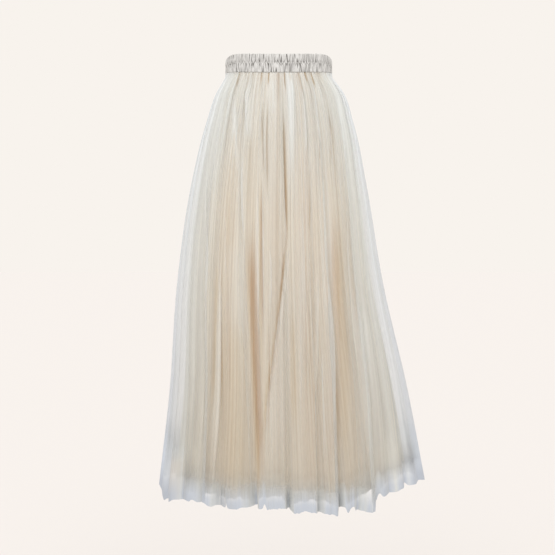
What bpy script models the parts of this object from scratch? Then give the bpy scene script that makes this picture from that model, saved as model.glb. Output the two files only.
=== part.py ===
"""Gathered tulle maxi skirt on an elastic waistband, hollow as worn and held at the waist.

Frame: origin at the middle of the waist opening, halfway up the band. +Z is up and -Y is the front.
Every layer is a thin wall lofted through the same sections. Its gathers start close together under
the band, and run together into fewer and deeper folds at the hem.
"""

import math
import random
from collections import namedtuple

import bmesh
import bpy
from mathutils import Vector

# Waistband: a ruched casing round a flat elastic, in metres
BAND_HEIGHT = 0.040
BAND_HALF_WIDTH = 0.1188
BAND_HALF_DEPTH = 0.0902
BAND_WALL = 0.0068
BAND_RUCHES = 64
RUCHE_DEPTH = 0.0007
CHANNEL_PUFF = 0.0012
# Rings of the casing as shares of its height: the stitch row lies between the two channels
BAND_RINGS = (0.0, 0.14, 0.36, 0.50, 0.64, 0.86, 1.0)
STITCH_ROW = 0.50

# Cloth walls and the gaps between pieces, in metres
TULLE_WALL = 0.0011
LINING_WALL = 0.0011
SEAM_GAP = 0.0003
BAND_BOTTOM = -BAND_HEIGHT / 2
CLOTH_TOP = BAND_BOTTOM - SEAM_GAP
HEM_LEVEL = -0.935

# A full turn is 360 degrees: 0 is the front centre and 90 is the side at +X
LEFT_SEAM = -90.0
RIGHT_SEAM = 90.0
FULL_TURN = 360.0

# How far a flank stands from its valley, as a share of the gather: under 0.25 the crest is broad
FLANK_SHARE = 0.17
# How evenly the fold lines fan out on their way down
FAN_POWER = 0.75
# Unevenness of the gathers: places as shares of their pitch, and depths as shares of the full depth
VALLEY_SHIFT = 0.12
LEAST_GATHER = 0.65
CREST_DIP = 0.10
INNER_SHIFT = 0.15
LEAST_INNER_FOLD = 0.75
RANDOM_SEED = 7

# Outline of the outer tulle at each level, as half sizes from the Z axis, and how deep its folds
# go in there: main folds reach the hem, and gathers between them fade on the way down.
Section = namedtuple("Section", "z left right front back main_fold gather")
SECTIONS = [
    Section(CLOTH_TOP, 0.1182, 0.1182, 0.0896, 0.0896, 0.0012, 0.0012),
    Section(-0.050, 0.1375, 0.1425, 0.1050, 0.1070, 0.0060, 0.0052),
    Section(-0.120, 0.1630, 0.1680, 0.1230, 0.1300, 0.0090, 0.0065),
    Section(-0.260, 0.1980, 0.1985, 0.1470, 0.1600, 0.0140, 0.0075),
    Section(-0.480, 0.2310, 0.2370, 0.1820, 0.2000, 0.0220, 0.0075),
    Section(-0.720, 0.2500, 0.2940, 0.2250, 0.2450, 0.0290, 0.0065),
    Section(HEM_LEVEL, 0.2770, 0.3370, 0.2620, 0.2820, 0.0340, 0.0060),
]

# The two inner layers: how far inside the outer outline they stand, and their own fold depth
Inner = namedtuple("Inner", "middle_inset middle_fold lining_inset lining_fold")
INNER_LAYERS = [
    Inner(0.0027, 0.0006, 0.0047, 0.0003),
    Inner(0.0088, 0.0035, 0.0143, 0.0020),
    Inner(0.0127, 0.0060, 0.0212, 0.0035),
    Inner(0.0184, 0.0090, 0.0304, 0.0050),
    Inner(0.0275, 0.0130, 0.0440, 0.0070),
    Inner(0.0355, 0.0160, 0.0555, 0.0090),
    Inner(0.0412, 0.0180, 0.0632, 0.0100),
]

# Main folds of the outer tulle. Each row starts at a deep valley, given by its place round the
# waist and round the hem, and counts the gathers that the fold takes up. depth scales its valley.
Fold = namedtuple("Fold", "waist_deg hem_deg gathers depth")
FRONT_FOLDS = [
    Fold(-90.0, -90.0, 1, 0.70),
    Fold(-84.0, -80.0, 1, 1.00),
    Fold(-76.0, -66.0, 1, 0.80),
    Fold(-67.0, -53.0, 1, 0.75),
    Fold(-58.6, -40.5, 2, 0.85),
    Fold(-44.4, -28.8, 2, 0.95),
    Fold(-32.4, -10.5, 5, 1.00),
    Fold(1.9, 3.5, 3, 0.90),
    Fold(22.0, 15.2, 2, 0.60),
    Fold(34.7, 23.2, 2, 1.00),
    Fold(48.4, 30.8, 2, 0.70),
    Fold(59.5, 40.5, 1, 0.85),
    Fold(68.0, 49.0, 1, 0.90),
    Fold(75.0, 60.0, 1, 0.75),
    Fold(82.0, 74.0, 1, 0.85),
]
BACK_FOLDS = [
    Fold(90.0, 90.0, 1, 0.70),
    Fold(97.0, 104.0, 1, 0.85),
    Fold(104.0, 117.0, 1, 0.75),
    Fold(112.0, 128.0, 2, 0.95),
    Fold(122.0, 137.0, 2, 0.80),
    Fold(135.0, 147.0, 2, 1.00),
    Fold(150.0, 158.0, 3, 0.75),
    Fold(166.0, 169.0, 2, 0.90),
    Fold(178.0, 179.0, 2, 0.70),
    Fold(194.0, 191.0, 2, 1.00),
    Fold(206.0, 202.0, 3, 0.80),
    Fold(222.0, 213.0, 2, 0.95),
    Fold(236.0, 224.0, 2, 0.75),
    Fold(248.0, 234.0, 1, 0.90),
    Fold(256.0, 246.0, 1, 0.80),
    Fold(264.0, 258.0, 1, 0.75),
]

# Level of the outer tulle's hem round the skirt: it dips where a fold swings forward
HemPoint = namedtuple("HemPoint", "deg z")
OUTER_HEM = [
    HemPoint(-90, -0.930),
    HemPoint(-84, -0.938),
    HemPoint(-72, -0.958),
    HemPoint(-62, -0.953),
    HemPoint(-50, -0.940),
    HemPoint(-36, -0.938),
    HemPoint(-24, -0.942),
    HemPoint(-10, -0.936),
    HemPoint(2, -0.938),
    HemPoint(14, -0.946),
    HemPoint(22, -0.954),
    HemPoint(30, -0.950),
    HemPoint(38, -0.940),
    HemPoint(48, -0.926),
    HemPoint(60, -0.918),
    HemPoint(75, -0.916),
    HemPoint(90, -0.930),
    HemPoint(120, -0.938),
    HemPoint(150, -0.944),
    HemPoint(210, -0.944),
    HemPoint(240, -0.938),
    HemPoint(270, -0.930),
]
MIDDLE_HEM_RISE = 0.012
LINING_HEM = -0.918

# The inner layers have evenly shared gathers, given as (main folds, gathers in each) on each half
MIDDLE_HALF = (8, 2)
LINING_HALF = (10, 1)

# Finish of each cloth: colour, roughness
Finish = namedtuple("Finish", "color roughness")
COOL_TULLE = Finish((0.78, 0.80, 0.82, 1.0), 0.70)
WARM_TULLE = Finish((0.76, 0.71, 0.63, 1.0), 0.70)
NUDE_LINING = Finish((0.66, 0.52, 0.39, 1.0), 0.55)
RUCHED_SATEEN = Finish((0.63, 0.62, 0.60, 1.0), 0.60)


def clear_scene():
    for obj in list(bpy.data.objects):
        bpy.data.objects.remove(obj, do_unlink=True)


def material(name, finish):
    made = bpy.data.materials.new(name)
    made.use_nodes = True
    shader = made.node_tree.nodes["Principled BSDF"]
    shader.inputs["Base Color"].default_value = finish.color
    shader.inputs["Roughness"].default_value = finish.roughness
    return made


def blend(a, b, share):
    return a + (b - a) * share


def between(rows, key, value):
    """The two rows round a value of a sorted table, and the share of the way between them."""
    for low, high in zip(rows, rows[1:]):
        first, last = getattr(low, key), getattr(high, key)
        if min(first, last) <= value <= max(first, last):
            return low, high, (value - first) / (last - first)
    nearest = min(rows, key=lambda row: abs(getattr(row, key) - value))
    return nearest, nearest, 0.0


def section_at(z):
    """The outline and fold depths at any level."""
    low, high, share = between(SECTIONS, "z", z)
    return Section(*(blend(a, b, share) for a, b in zip(low, high)))


def inner_at(z):
    """The inner layers' insets and fold depths at any level."""
    low, high, share = between(SECTIONS, "z", z)
    first = INNER_LAYERS[SECTIONS.index(low)]
    last = INNER_LAYERS[SECTIONS.index(high)]
    return Inner(*(blend(a, b, share) for a, b in zip(first, last)))


def outline_point(section, degrees, inset):
    """A point of the outline, moved in along its own normal, with x and y only."""
    angle = math.radians(degrees)
    half_x = section.right if math.sin(angle) >= 0 else section.left
    half_y = section.front if math.cos(angle) >= 0 else section.back
    point = Vector((half_x * math.sin(angle), -half_y * math.cos(angle)))
    normal = Vector((point.x / half_x**2, point.y / half_y**2)).normalized()
    return point - normal * inset


def fan_share(z):
    """0 at the waist and 1 at the hem: how far a fold line has moved to its place at the hem."""
    return ((CLOTH_TOP - z) / (CLOTH_TOP - HEM_LEVEL)) ** FAN_POWER


def wrapped(degrees):
    """The same direction, from the left seam round to it again."""
    return (degrees - LEFT_SEAM) % FULL_TURN + LEFT_SEAM


def outer_hem(degrees):
    low, high, share = between(OUTER_HEM, "deg", wrapped(degrees))
    return blend(low.z, high.z, share)


def middle_hem(degrees):
    return outer_hem(degrees) + MIDDLE_HEM_RISE


def lining_hem(degrees):
    return LINING_HEM


# A column of a panel: its place round the waist and hem, and its depth as shares of both folds
Column = namedtuple("Column", "waist_deg hem_deg main gather")


def gather_columns(folds, end):
    """Four columns for each gather: valley, flank, crest, flank; and the closing valley."""
    rng = random.Random(RANDOM_SEED)
    lines = folds + [end]
    valleys = []
    for fold, following in zip(lines, lines[1:]):
        for step in range(fold.gathers):
            share = step / fold.gathers
            if step:
                share += rng.uniform(-VALLEY_SHIFT, VALLEY_SHIFT) / fold.gathers
            valleys.append(
                Column(
                    blend(fold.waist_deg, following.waist_deg, share),
                    blend(fold.hem_deg, following.hem_deg, share),
                    0.0 if step else fold.depth,
                    rng.uniform(LEAST_GATHER, 1.0) if step else 0.0,
                )
            )
    valleys.append(Column(end.waist_deg, end.hem_deg, end.depth, 0.0))
    columns = []
    for valley, following in zip(valleys, valleys[1:]):
        crest_depth = rng.uniform(0.0, CREST_DIP)
        columns.append(valley)
        for share in (FLANK_SHARE, 0.5, 1 - FLANK_SHARE):
            nearest = valley if share < 0.5 else following
            flank = 0.0 if share == 0.5 else 0.5
            columns.append(
                Column(
                    blend(valley.waist_deg, following.waist_deg, share),
                    blend(valley.hem_deg, following.hem_deg, share),
                    flank * nearest.main + crest_depth * (1 - flank),
                    flank * nearest.gather,
                )
            )
    columns.append(valleys[-1])
    return columns


def even_folds(start, halves):
    """Folds of an inner layer, shared out evenly over half a turn from a seam."""
    count, gathers = halves
    rng = random.Random(RANDOM_SEED + int(start))
    width = (RIGHT_SEAM - LEFT_SEAM) / count
    folds = []
    for step in range(count):
        shift = rng.uniform(-INNER_SHIFT, INNER_SHIFT) if step else 0.0
        place = start + width * (step + shift)
        folds.append(Fold(place, place, gathers, rng.uniform(LEAST_INNER_FOLD, 1.0)))
    return folds


def panel(name, columns, hem_of, layer, wall, finish):
    """One half of a layer, from seam to seam: a loft of its columns, given a wall inwards."""
    build = bmesh.new()
    rows = []
    for level, section in enumerate(SECTIONS):
        row = []
        for column in columns:
            z = section.z
            degrees = blend(column.waist_deg, column.hem_deg, fan_share(z))
            if level == len(SECTIONS) - 1:
                z = hem_of(degrees)
            here = section_at(max(z, HEM_LEVEL))
            point = outline_point(here, degrees, layer(here, column))
            row.append(build.verts.new((point.x, point.y, z)))
        rows.append(row)
    for upper, lower in zip(rows, rows[1:]):
        for a, b, c, d in zip(upper, lower, lower[1:], upper[1:]):
            build.faces.new((a, b, c, d))
        part_at_seam(upper)
    part_at_seam(rows[-1])
    mesh = bpy.data.meshes.new(name)
    build.to_mesh(mesh)
    build.free()
    obj = shown(name, mesh, finish)
    solidify = obj.modifiers.new("cloth_wall", "SOLIDIFY")
    solidify.thickness = wall
    solidify.offset = -1.0
    solidify.use_even_offset = True
    return obj


def part_at_seam(row):
    """Moves the two end points of a row half a seam gap along the cloth, off the next panel."""
    for end, neighbour in ((row[0], row[1]), (row[-1], row[-2])):
        inwards = Vector((0.0, neighbour.co.y - end.co.y, 0.0)).normalized()
        end.co += inwards * SEAM_GAP / 2


def outer_depth(section, column):
    return column.main * section.main_fold + column.gather * section.gather


def middle_depth(section, column):
    inner = inner_at(section.z)
    return inner.middle_inset + (column.main + column.gather) * inner.middle_fold


def lining_depth(section, column):
    inner = inner_at(section.z)
    return inner.lining_inset + (column.main + column.gather) * inner.lining_fold


def band_relief(height_share, column_index, lower_channel):
    """How far a point of the casing stands out: its channel puffs up, and ruches fade at its edges."""
    puff = math.sin(math.pi * height_share)
    ruche = RUCHE_DEPTH if (column_index + lower_channel) % 2 else -RUCHE_DEPTH
    return CHANNEL_PUFF * puff + ruche * puff**0.5


def waistband(finish):
    """A closed ring: the ruched outside in two channels, and a plain inside."""
    build = bmesh.new()
    columns = 2 * BAND_RUCHES
    rings = []
    for level in BAND_RINGS:
        channel = (level / STITCH_ROW) % 1.0
        ring = []
        for index in range(columns):
            angle = 2 * math.pi * index / columns
            relief = band_relief(channel, index, level < STITCH_ROW)
            ring.append(
                build.verts.new(
                    (
                        (BAND_HALF_WIDTH + relief) * math.sin(angle),
                        -(BAND_HALF_DEPTH + relief) * math.cos(angle),
                        BAND_BOTTOM + level * BAND_HEIGHT,
                    )
                )
            )
        rings.append(ring)
    for level in (1.0, 0.0):
        rings.append(
            [
                build.verts.new(
                    (
                        (BAND_HALF_WIDTH - BAND_WALL) * math.sin(2 * math.pi * index / columns),
                        -(BAND_HALF_DEPTH - BAND_WALL) * math.cos(2 * math.pi * index / columns),
                        BAND_BOTTOM + level * BAND_HEIGHT,
                    )
                )
                for index in range(columns)
            ]
        )
    for ring, following in zip(rings, rings[1:] + rings[:1]):
        for index in range(columns):
            after = (index + 1) % columns
            build.faces.new((ring[index], ring[after], following[after], following[index]))
    mesh = bpy.data.meshes.new("waistband")
    build.to_mesh(mesh)
    build.free()
    return shown("waistband", mesh, finish)


def shown(name, mesh, finish):
    obj = bpy.data.objects.new(name, mesh)
    obj.data.materials.append(material(name, finish))
    mesh.shade_smooth()
    SKIRT.objects.link(obj)
    return obj


def layer_pair(name, front_folds, back_folds, hem_of, depth_of, wall, finish):
    """The front and back panels of a layer, meeting at the side seams."""
    front_end = back_folds[0]
    back_end = front_folds[0]._replace(
        waist_deg=front_folds[0].waist_deg + FULL_TURN,
        hem_deg=front_folds[0].hem_deg + FULL_TURN,
    )
    for side, folds, end in (
        ("front", front_folds, front_end),
        ("back", back_folds, back_end),
    ):
        columns = gather_columns(folds, end)
        panel(f"{name}_{side}", columns, hem_of, depth_of, wall, finish)


clear_scene()
SKIRT = bpy.data.collections.new("tulle_skirt")
bpy.context.scene.collection.children.link(SKIRT)

waistband(RUCHED_SATEEN)
layer_pair("tulle_outer", FRONT_FOLDS, BACK_FOLDS, outer_hem, outer_depth, TULLE_WALL, COOL_TULLE)
layer_pair(
    "tulle_middle",
    even_folds(LEFT_SEAM, MIDDLE_HALF),
    even_folds(RIGHT_SEAM, MIDDLE_HALF),
    middle_hem,
    middle_depth,
    TULLE_WALL,
    WARM_TULLE,
)
layer_pair(
    "lining",
    even_folds(LEFT_SEAM, LINING_HALF),
    even_folds(RIGHT_SEAM, LINING_HALF),
    lining_hem,
    lining_depth,
    LINING_WALL,
    NUDE_LINING,
)
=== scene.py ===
"""Looks of the gathered tulle skirt: sheer net layers, nude lining and a ruched waistband.

Metres, +Z up, -Y is the front. The origin is the middle of the waist opening, halfway up the band.
The cloth repeats the sections and fold lines of the CAD part, and adds finer gathers to them.
"""

import math
import random
from collections import namedtuple

import bpy
import numpy as np
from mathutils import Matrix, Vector


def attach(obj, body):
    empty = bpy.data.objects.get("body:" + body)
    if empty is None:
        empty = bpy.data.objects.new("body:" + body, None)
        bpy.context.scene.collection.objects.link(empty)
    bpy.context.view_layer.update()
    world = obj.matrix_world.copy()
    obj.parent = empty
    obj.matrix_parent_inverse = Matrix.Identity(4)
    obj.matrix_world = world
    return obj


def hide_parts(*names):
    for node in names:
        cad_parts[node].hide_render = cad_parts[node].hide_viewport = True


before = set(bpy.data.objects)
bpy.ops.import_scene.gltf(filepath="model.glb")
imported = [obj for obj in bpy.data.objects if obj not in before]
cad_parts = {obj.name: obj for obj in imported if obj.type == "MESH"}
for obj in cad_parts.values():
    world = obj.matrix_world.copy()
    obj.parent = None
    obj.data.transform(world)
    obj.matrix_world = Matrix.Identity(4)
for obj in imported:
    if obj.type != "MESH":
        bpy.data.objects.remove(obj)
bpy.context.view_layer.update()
BODY = "root"

# The same driving sizes as the CAD part
BAND_HEIGHT = 0.040
BAND_HALF_WIDTH = 0.1188
BAND_HALF_DEPTH = 0.0902
BAND_WALL = 0.0068
BAND_BOTTOM = -BAND_HEIGHT / 2
CLOTH_TOP = BAND_BOTTOM - 0.0003
HEM_LEVEL = -0.935
LEFT_SEAM = -90.0
RIGHT_SEAM = 90.0
FULL_TURN = 360.0
FAN_POWER = 0.75
VALLEY_SHIFT = 0.12
LEAST_GATHER = 0.65
INNER_SHIFT = 0.15
LEAST_INNER_FOLD = 0.75
FORM_SEED = 7

Section = namedtuple("Section", "z left right front back main_fold gather")
SECTIONS = [Section(*row) for row in (
    (CLOTH_TOP, 0.1182, 0.1182, 0.0896, 0.0896, 0.0012, 0.0012),
    (-0.05, 0.1375, 0.1425, 0.105, 0.107, 0.006, 0.0052),
    (-0.12, 0.163, 0.168, 0.123, 0.13, 0.009, 0.0065),
    (-0.26, 0.198, 0.1985, 0.147, 0.16, 0.014, 0.0075),
    (-0.48, 0.231, 0.237, 0.182, 0.2, 0.022, 0.0075),
    (-0.72, 0.25, 0.294, 0.225, 0.245, 0.029, 0.0065),
    (HEM_LEVEL, 0.277, 0.337, 0.262, 0.282, 0.034, 0.006),
)]
Inner = namedtuple("Inner", "middle_inset middle_fold lining_inset lining_fold")
INNER_LAYERS = [Inner(*row) for row in (
    (0.0027, 0.0006, 0.0047, 0.0003),
    (0.0088, 0.0035, 0.0143, 0.002),
    (0.0127, 0.006, 0.0212, 0.0035),
    (0.0184, 0.009, 0.0304, 0.005),
    (0.0275, 0.013, 0.044, 0.007),
    (0.0355, 0.016, 0.0555, 0.009),
    (0.0412, 0.018, 0.0632, 0.01),
)]

Fold = namedtuple("Fold", "waist_deg hem_deg gathers depth")
FRONT_FOLDS = [Fold(*row) for row in (
    (-90, -90, 1, 0.7),
    (-84, -80, 1, 1),
    (-76, -66, 1, 0.8),
    (-67, -53, 1, 0.75),
    (-58.6, -40.5, 2, 0.85),
    (-44.4, -28.8, 2, 0.95),
    (-32.4, -10.5, 5, 1),
    (1.9, 3.5, 3, 0.9),
    (22, 15.2, 2, 0.6),
    (34.7, 23.2, 2, 1),
    (48.4, 30.8, 2, 0.7),
    (59.5, 40.5, 1, 0.85),
    (68, 49, 1, 0.9),
    (75, 60, 1, 0.75),
    (82, 74, 1, 0.85),
)]
BACK_FOLDS = [Fold(*row) for row in (
    (90, 90, 1, 0.7),
    (97, 104, 1, 0.85),
    (104, 117, 1, 0.75),
    (112, 128, 2, 0.95),
    (122, 137, 2, 0.8),
    (135, 147, 2, 1),
    (150, 158, 3, 0.75),
    (166, 169, 2, 0.9),
    (178, 179, 2, 0.7),
    (194, 191, 2, 1),
    (206, 202, 3, 0.8),
    (222, 213, 2, 0.95),
    (236, 224, 2, 0.75),
    (248, 234, 1, 0.9),
    (256, 246, 1, 0.8),
    (264, 258, 1, 0.75),
)]
MIDDLE_HALF = (8, 2)
LINING_HALF = (10, 1)

HemPoint = namedtuple("HemPoint", "deg z")
OUTER_HEM = [HemPoint(*row) for row in (
    (-90, -0.93), (-84, -0.938), (-72, -0.958), (-62, -0.953), (-50, -0.94),
    (-36, -0.938), (-24, -0.942), (-10, -0.936), (2, -0.938), (14, -0.946),
    (22, -0.954), (30, -0.95), (38, -0.94), (48, -0.926), (60, -0.918),
    (75, -0.916), (90, -0.93), (120, -0.938), (150, -0.944), (210, -0.944),
    (240, -0.938), (270, -0.93),
)]
MIDDLE_HEM_RISE = 0.012
LINING_HEM = -0.918

# How each cloth is laid out: mesh size, small gathers between those of the CAD, and how uneven it is.
# lean is how far a valley leans under its neighbour, as a share of the gather's width
Cloth = namedtuple("Cloth", "columns_a_gather rows small_gathers small_depth lean sway hem_ripple")
OUTER_CLOTH = Cloth(40, 64, 3, 0.0018, 0.40, 0.0040, 0.0030)
MIDDLE_CLOTH = Cloth(56, 48, 5, 0.0016, 0.42, 0.0045, 0.0060)
LINING_CLOTH = Cloth(40, 44, 3, 0.0008, 0.15, 0.0030, 0.0060)
# Height of each row: rows stand closer near the band, where the gathers change fastest
ROW_POWER = 1.35
# Gathers beside a seam over which loose shapes fade out, so that the two halves meet
SEAM_FADE = 1.5
# The sides hang calmer than the front: how far round that reaches, in degrees, and how calm
SIDE_REACH = 50.0
SIDE_CALM = 0.78
# The top of each layer stands out to meet the band: how far, and over what share of the drop
TOP_PROUD = 0.0018
TOP_REACH = 0.03
# The band and the top of the cloth stand higher at the sides
SIDE_LIFT = 0.0075
# How far a crease may stand out from the outline
MOST_PROUD = 0.003

# Valleys: how wide one is as a share of the gather, how that wanders and how it grows to the hem
VALLEY_WIDTH = (0.12, 0.34)
WIDTH_WANDER = 0.35
WIDTH_GAINED = 0.8
VALLEY_POWER = 1.6
# How far each leans, and how much of that a main fold keeps to the hem; gathers keep less
VALLEY_LEAN = (0.35, 1.0)
LEAN_KEPT = (0.15, 0.8)
LEAN_DROP = 0.35
# Strengths that a gather may have, and how much of its depth it keeps to the hem
GATHER_STRENGTHS = (0.15, 0.4, 1.0, 1.4)
GATHER_KEPT = 0.4
# Painted shade on the floor of a valley: how dark it may be; then shares of the drop, and the
# painted shade there
VALLEY_PAINTED_SHADE = (0.3, 0.6, 1.0, 2.0)
GATHER_PAINTED_SHADE = 0.6
VALLEY_SHADE = ((0.0, 0.03, 0.07, 0.2, 1.0), (0.6, 0.5, 0.2, 0.12, 0.08))
# Small gathers: mean strength and its swing, wander of their places, and shares of the drop with
# their strength there
SMALL_STRENGTH = (0.55, 0.45)
SMALL_WANDER = 2.2
SMALL_FADE = ((0.0, 0.03, 0.10, 0.30, 1.0), (0.35, 1.0, 1.0, 0.45, 0.30))
# Depth of the slow billows further down
BILLOW = 0.0015
# Share of the fine waves in the ripple of the hem
FINE_RIPPLE = 0.6

# How much denser the net is on the flanks of its folds, and how thin a flank may look
CROWDING = 0.6
LEAST_FACING = 0.45
# Unevenness of the net, and the least and most of it
NET_SWING = 0.3
NET_LIMITS = (0.25, 3.0)
# How much more net is gathered at the sides, and how far round at the band and at the hem
SIDE_NET = 1.8
SIDE_NET_REACH = (58.0, 46.0)
# How much more again near the hem of the sides, from what share of the drop, and over what share
HEM_NET = 3.2
HEM_NET_FROM = 0.84
HEM_NET_FADE = 0.12
# How cool the net looks at the sides, where it stands alone, and how far round; there it is also
# painted a little lighter, partly painted light
SIDE_COOL = 0.76
SIDE_COOL_REACH = 44.0
# Painted light on the flanks: how much lighter they are painted; and how much lighter the dense
# places are, which lie at random
FLANK_PAINTED_LIGHT = 0.2
BROAD_TONE = 0.12
# Crowding above 1 at which a flank counts as wholly turned
WHOLLY_TURNED = 0.4

# Slow random fields: number of waves, their least and most pitch round, their most pitch down, and
# what the places round and down are first multiplied by
Waves = namedtuple("Waves", "count low high down scale_round scale_down", defaults=(1.0, 1.0))
HEM_WAVES = Waves(4, 1.0, 4.0, 0.0)
FINE_HEM_WAVES = Waves(5, 7.0, 19.0, 0.0)
WIDTH_WAVES = Waves(3, 0.5, 2.0, 1.0, 1.7, 6.0)
STRENGTH_WAVES = Waves(4, 0.6, 2.2, 4.0)
PLACE_WAVES = Waves(4, 0.8, 2.5, 5.0)
BILLOW_WAVES = Waves(4, 0.3, 1.1, 1.0, 1.0, 5.0)
SWAY_WAVES = Waves(4, 0.6, 1.5, 1.0, 0.35, 6.0)
NET_WAVES = Waves(5, 0.5, 2.5, 2.5)
PUCKER_WAVES = Waves(8, 30.0, 90.0, 0.0)

# Creases of the outer net, listed one by one: each runs from one height and place round to
# another, with its half width there, its depth inward, its lean to the side, how much more net it
# gathers and its tone: painted shade in the dark creases, painted light in the light ones
Crease = namedtuple("Crease", "top top_deg low low_deg top_width low_width depth lean gathered tone")
FRONT_CREASES = [Crease(*row) for row in (
    (0.03, 11, -0.32, 6.6, 0.007, 0.006, -0.003, 0.004, 1, 0.7),
    (-0.07, 3, -0.42, 5.5, 0.002, 0.0024, 0.005, -0.003, 0.1, -1.4),
    (-0.065, -13.8, -0.27, -9.2, 0.0014, 0.0014, 0.004, 0.002, 0.1, -0.8),
    (-0.06, -9.4, -0.33, -6.6, 0.0014, 0.0014, 0.004, -0.002, 0.1, -0.9),
    (-0.383, -5, -0.561, -4.5, 0.0026, 0.0026, -0.002, 0.0045, 0.5, 0.4),
    (-0.366, -25, -0.618, -19.8, 0.02, 0.022, -0.003, 0, 0.25, 0.15),
    (-0.4, -37.8, -0.8, -35, 0.0034, 0.0038, 0.002, 0, -0.3, -1.1),
    (-0.38, -36.2, -0.96, -31.6, 0.0052, 0.006, -0.004, 0.008, 1, 0.8),
    (-0.551, -48, -0.867, -43.8, 0.0024, 0.0026, -0.002, 0.005, 0.5, 0.4),
    (-0.38, 4.6, -0.94, -2.8, 0.004, 0.033, -0.005, 0, 0.6, 0.35),
    (-0.564, 20.8, -0.926, 16.8, 0.0024, 0.0028, -0.003, -0.0055, 0.5, 0.5),
    (-0.3, 41, -0.933, 21.5, 0.012, 0.0125, 0.003, 0, -0.35, -0.5),
    (-0.301, 45.2, -0.713, 36.8, 0.003, 0.0034, -0.003, -0.007, 0.6, 0.5),
    (-0.383, 50.5, -0.88, 38, 0.017, 0.021, -0.003, 0, 0.2, 0.15),
    (-0.063, 45.8, -0.262, 38.2, 0.0016, 0.0016, 0.003, 0, 0, -0.8),
    (-0.119, 32.8, -0.294, 27.2, 0.0015, 0.0015, 0.003, 0, 0, -0.7),
    (-0.062, -41, -0.25, -28, 0.0044, 0.0044, -0.003, 0.004, 0.4, 0.25),
    (-0.036, -30.2, -0.19, -18.2, 0.0052, 0.0052, -0.003, -0.004, 0.5, 0.3),
    (-0.026, -6, -0.13, -3.5, 0.0052, 0.0052, -0.003, 0.004, 0.5, 0.3),
    (-0.046, 20, -0.229, 16.8, 0.0042, 0.0042, -0.003, 0.003, 0.3, 0.2),
    (-0.031, 33.2, -0.194, 27.8, 0.0046, 0.0046, -0.003, -0.003, 0.3, 0.2),
    (-0.073, -54, -0.314, -44.8, 0.006, 0.007, -0.003, 0.003, 0.3, 0.2),
    (-0.068, 58.5, -0.227, 49.5, 0.005, 0.0055, -0.003, -0.003, 0.3, 0.2),
    (-0.287, -58, -0.778, -50.2, 0.015, 0.017, -0.003, 0, 0.2, 0.1),
    # Painted light: the right of the hem is painted lighter
    (-0.8, 52, -1.05, 48, 0.05, 0.07, 0, 0, 0.2, 0.55),
    (-0.187, -58.5, -0.576, -42.8, 0.003, 0.0034, -0.002, 0.005, 0.4, 0.25),
    (-0.19, -25, -0.404, -19, 0.003, 0.0034, -0.002, -0.0045, 0.3, 0.2),
    (-0.254, -33.8, -0.573, -28, 0.0026, 0.003, 0.005, 0, -0.2, -0.4),
    (-0.276, 13, -0.571, 11.2, 0.0026, 0.003, -0.002, 0.0045, 0.4, 0.25),
    (-0.383, 17, -0.757, 12.5, 0.0026, 0.0032, 0.005, 0, -0.2, -0.5),
    (-0.383, 29.8, -0.86, 19.8, 0.003, 0.0036, -0.002, 0.005, 0.4, 0.25),
    (-0.33, 6.2, -0.86, -10.4, 0.0022, 0.0026, 0.003, 0.001, -0.2, -1.3),
    (-0.34, 7.6, -0.85, -8.6, 0.0026, 0.0032, -0.001, 0.002, 0.6, 0.8),
    (-0.509, 7.2, -0.797, 6.2, 0.006, 0.0096, 0.002, 0, -0.3, -0.45),
    (-0.25, -13.8, -0.6, -10.4, 0.0022, 0.0022, -0.002, 0.003, 0.9, 1.2),
    (-0.23, -11.6, -0.64, -8.6, 0.0022, 0.0022, 0.003, 0.001, 0, -1.4),
    (-0.3, -9.2, -0.62, -7.7, 0.0019, 0.0019, -0.001, 0.002, 0.6, 1),
    (-0.4, 21.3, -0.8, 14.9, 0.002, 0.0021, -0.001, 0.003, 0.9, 1),
    (-0.289, -35, -0.523, -28.5, 0.0013, 0.0013, -0.001, 0.002, 0.4, 0.7),
    (-0.509, -5, -0.918, -7.2, 0.0013, 0.0015, 0.002, 0.0006, 0, -0.7),
    (-0.509, 10.5, -0.777, 8.8, 0.0012, 0.0013, -0.001, 0.002, 0.4, 0.6),
    (-0.191, 1.5, -0.509, 0, 0.0013, 0.0014, -0.001, 0.002, 0.3, 0.6),
    (-0.168, -34.8, -0.404, -27.5, 0.0013, 0.0013, -0.001, 0.002, 0.3, 0.6),
    (-0.19, 21.8, -0.404, 18.2, 0.0013, 0.0013, 0.002, 0.0006, 0, -0.7),
    (-0.476, 46.8, -0.955, 41.5, 0.026, 0.044, 0, 0, 1.2, 0.4),
    (-0.09, 21.5, -0.613, 12.8, 0.011, 0.012, 0, 0, 0.25, 0.45),
    (-0.254, 32.2, -0.604, 22.5, 0.012, 0.012, 0, 0, 0.2, 0.55),
    (-0.125, -22.2, -0.404, -15.5, 0.013, 0.013, 0.001, 0, -0.1, -0.42),
    (-0.189, -34.5, -0.425, -27.8, 0.01, 0.01, 0.001, 0, -0.1, -0.3),
    (-0.715, -9.5, -0.955, -8.8, 0.008, 0.009, 0, 0, 0, -0.35),
    (-0.319, -17.5, -0.955, -9.2, 0.0118, 0.0094, 0.003, 0, -0.5, -0.75),
    (-0.5, -25.5, -0.985, -17.6, 0.024, 0.029, 0.001, 0, -0.1, -0.48),
    (-0.572, -13.8, -0.955, -9.2, 0.0085, 0.0085, 0.001, 0, -0.2, -0.4),
    (-0.446, -9.8, -0.715, -8.2, 0.005, 0.0055, 0.001, 0, 0, -0.45),
    (-0.404, 13.5, -0.654, 10.8, 0.009, 0.01, 0, 0, 0.2, 0.3),
    (-0.043, -44.5, -0.276, -22.5, 0.007, 0.008, 0, 0, 0.6, 0.35),
    # More net at the left corner of the hem, painted darker as painted shade; less net at the right
    # of the hem, painted lighter as painted light
    (-0.83, -60, -0.985, -62, 0.035, 0.035, 0, 0, 1.5, -0.5),
    (-0.8, 68, -1.01, 64, 0.06, 0.075, 0, 0, -0.7, 0.5),
)]
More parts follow.
